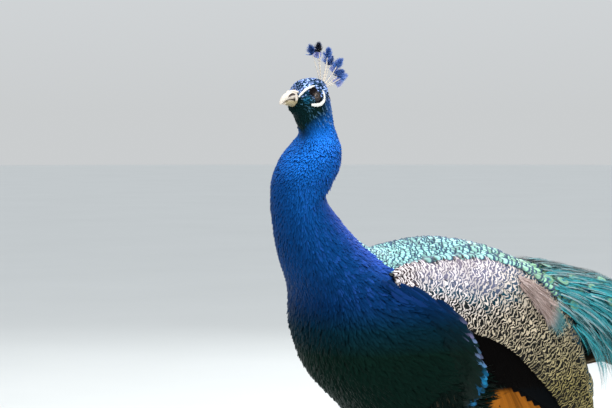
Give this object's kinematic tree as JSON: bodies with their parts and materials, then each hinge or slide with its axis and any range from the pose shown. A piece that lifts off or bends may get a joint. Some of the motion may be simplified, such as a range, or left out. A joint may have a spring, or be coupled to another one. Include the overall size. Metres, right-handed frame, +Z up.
{
  "type": "peacock",
  "caption": "Standing male Indian peafowl with a fan crest on its head, folded wings and a long closed train that rests on the floor behind it.",
  "frame": {"origin": "on the floor, under the middle of the bounding box", "axes": "+Z up; the bird faces -Y, so +Y runs along its length from bill to train end; +X is its left side"},
  "size_m": [0.4552, 2.0982, 0.8972],
  "materials": {
    "plumage_blue": "short overlapping feathers, blue with a satin metallic sheen",
    "plumage_green": "scale-like feathers, turquoise green with dark rims and a metallic sheen",
    "train": "long loose-barbed feathers with eye spots, bronze green with a metallic sheen",
    "bill": "horn, dull with a slight gloss",
    "eye": "wet gloss",
    "crest": "bare pale shafts with blue-green tips",
    "wing_barred": "buff feathers barred with black, matt",
    "wing_dark": "near-black feathers with a blue gloss",
    "wing_rufous": "chestnut feathers, matt",
    "tail_brown": "brown feathers, matt",
    "thigh": "soft buff feathers, matt",
    "leg": "horny scales, grey-brown"
  },
  "bodies": {
    "root": {"head": "plumage_blue", "neck_upper": "plumage_blue", "neck_middle": "plumage_blue", "neck_lower": "plumage_blue", "breast": "plumage_blue", "trunk": "plumage_green", "rump": "plumage_green", "train_base": "train", "train_middle": "train", "train_end": "train", "bill_upper": "bill", "bill_lower": "bill", "eye_left": "eye", "eye_right": "eye", "crest": "crest", "wing_coverts_left": "wing_barred", "wing_coverts_right": "wing_barred", "wing_secondaries_left": "wing_dark", "wing_secondaries_right": "wing_dark", "wing_primaries_left": "wing_rufous", "wing_primaries_right": "wing_rufous", "tail": "tail_brown", "thigh_left": "thigh", "thigh_right": "thigh", "shank_left": "leg", "shank_right": "leg", "foot_left": "leg", "foot_right": "leg"}
  },
  "joints": []
}
